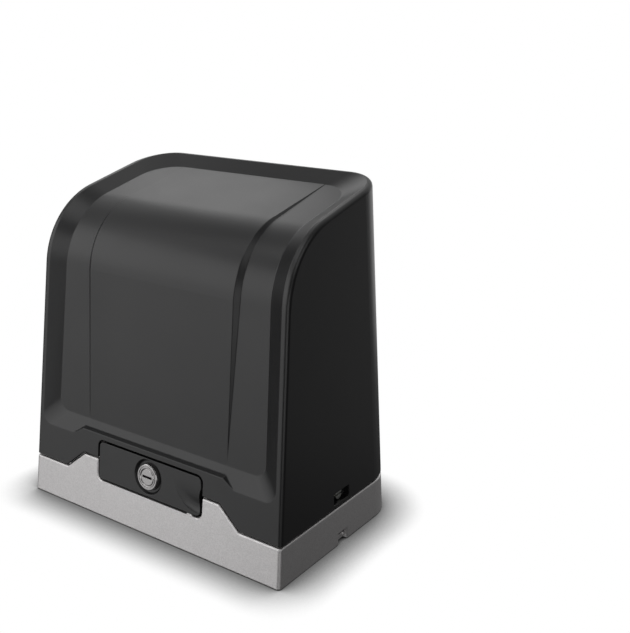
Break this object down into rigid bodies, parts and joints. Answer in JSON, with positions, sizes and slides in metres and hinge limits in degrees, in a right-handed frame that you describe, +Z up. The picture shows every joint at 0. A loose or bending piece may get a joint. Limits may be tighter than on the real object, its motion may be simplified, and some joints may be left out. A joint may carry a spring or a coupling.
{
  "type": "sliding gate motor",
  "caption": "Sliding gate motor: dark sloped hood on a silver cast base with a locking release door, worm gear drive, dog clutch and a rack pinion at the rear.",
  "frame": {"origin": "centre of the base's underside, on the floor plate it is bolted to", "axes": "+Z up, -Y to the front with the door and lock, +Y to the rear with the rack pinion, +X to the right seen from the front"},
  "size_m": [0.26, 0.2016, 0.2692],
  "materials": {
    "hood_plastic": "satin dark moulded plastic with a fine grain",
    "door_plastic": "satin dark moulded plastic with a fine grain",
    "silver_base": "silver paint with a fine metallic speckle",
    "lock_chrome": "satin chrome",
    "zinc_steel": "zinc plated",
    "bright_steel": "ground steel",
    "spring_steel": "drawn spring wire",
    "pinion_steel": "hobbed steel, oiled",
    "bronze": "machined bronze",
    "cast_aluminium": "die-cast, shot-blasted",
    "lamination_steel": "stacked electrical sheet",
    "copper_winding": "enamelled copper wire",
    "black_rubber": "moulded rubber",
    "green_board": "solder mask",
    "green_terminal": "moulded plastic",
    "relay_plastic": "moulded plastic",
    "white_plastic": "moulded plastic",
    "transformer_iron": "varnished sheet"
  },
  "bodies": {
    "base": {"base_tray": "silver_base", "cable_grommet": "black_rubber", "lever_bracket": "zinc_steel", "lever_pin": "bright_steel", "bracket_screws": "zinc_steel", "gearbox_housing": "cast_aluminium", "gearbox_cover": "cast_aluminium", "gearbox_screws": "zinc_steel", "gearbox_bolts": "zinc_steel", "output_bearings": "bright_steel", "worm_bearings": "bright_steel", "output_seal": "black_rubber", "motor_flange": "cast_aluminium", "motor_stator": "lamination_steel", "motor_windings": "copper_winding", "motor_end_cap": "cast_aluminium", "motor_tie_bolts": "zinc_steel", "board_stand": "zinc_steel", "stand_screws": "zinc_steel", "board_post": "bright_steel", "control_board": "green_board", "board_spacers": "white_plastic", "board_terminals": "green_terminal", "board_relays": "relay_plastic", "transformer": "transformer_iron", "run_capacitor": "white_plastic", "capacitor_clip": "zinc_steel", "clip_screw": "zinc_steel"},
    "cover": {"cover_shell": "hood_plastic", "cover_screws": "zinc_steel"},
    "lever": {"release_lever": "door_plastic", "lock_housing": "lock_chrome", "lock_nut": "zinc_steel"},
    "key": {"lock_plug": "lock_chrome", "lock_tongue": "zinc_steel", "tongue_screw": "zinc_steel"},
    "rod": {"push_rod": "bright_steel"},
    "rotor": {"worm_shaft": "bright_steel", "rotor_core": "lamination_steel"},
    "wheel": {"worm_wheel": "bronze"},
    "output": {"output_shaft": "bright_steel", "wheel_spacer": "bright_steel", "drive_pinion": "pinion_steel", "pinion_key": "bright_steel", "pinion_washer": "zinc_steel", "pinion_screw": "zinc_steel", "clutch_spring": "spring_steel"},
    "clutch": {"dog_clutch": "bright_steel", "clutch_pin": "bright_steel"}
  },
  "joints": [
    {"name": "cover_lift", "type": "slide", "parent": "base", "child": "cover", "axis": [0, 0, 1], "range_m": [0, 0.25]},
    {"name": "lever_swing", "type": "hinge", "parent": "base", "child": "lever", "pos_m": [-0.0415, -0.06825, 0.0458], "axis": [0, -0.1236, -0.9923], "range_deg": [0, 85]},
    {"name": "key_turn", "type": "hinge", "parent": "lever", "child": "key", "pos_m": [0, -0.07412, 0.04723], "axis": [0, 0.9923, -0.1236], "range_deg": [0, 90]},
    {"name": "rod_slide", "type": "slide", "parent": "base", "child": "rod", "axis": [0, 1, 0], "range_m": [0, 0.004]},
    {"name": "rotor_spin", "type": "hinge", "parent": "base", "child": "rotor", "pos_m": [-0.0415, 0.006, 0.091], "axis": [1, 0, 0], "continuous": true},
    {"name": "wheel_spin", "type": "hinge", "parent": "base", "child": "wheel", "pos_m": [-0.0415, 0.006, 0.05], "axis": [0, 1, 0], "continuous": true},
    {"name": "output_spin", "type": "hinge", "parent": "base", "child": "output", "pos_m": [-0.0415, 0.006, 0.05], "axis": [0, 1, 0], "continuous": true},
    {"name": "clutch_slide", "type": "slide", "parent": "output", "child": "clutch", "axis": [0, 1, 0], "range_m": [0, 0.004], "deforming": ["clutch_spring"]}
  ],
  "couplings": [
    {"joint": "rod_slide", "follows": "lever_swing", "m_per_rad": 0.0026962},
    {"joint": "wheel_spin", "follows": "rotor_spin", "ratio": -0.033333},
    {"joint": "output_spin", "follows": "rotor_spin", "ratio": -0.033333},
    {"joint": "clutch_slide", "follows": "lever_swing", "m_per_rad": 0.0026962}
  ]
}
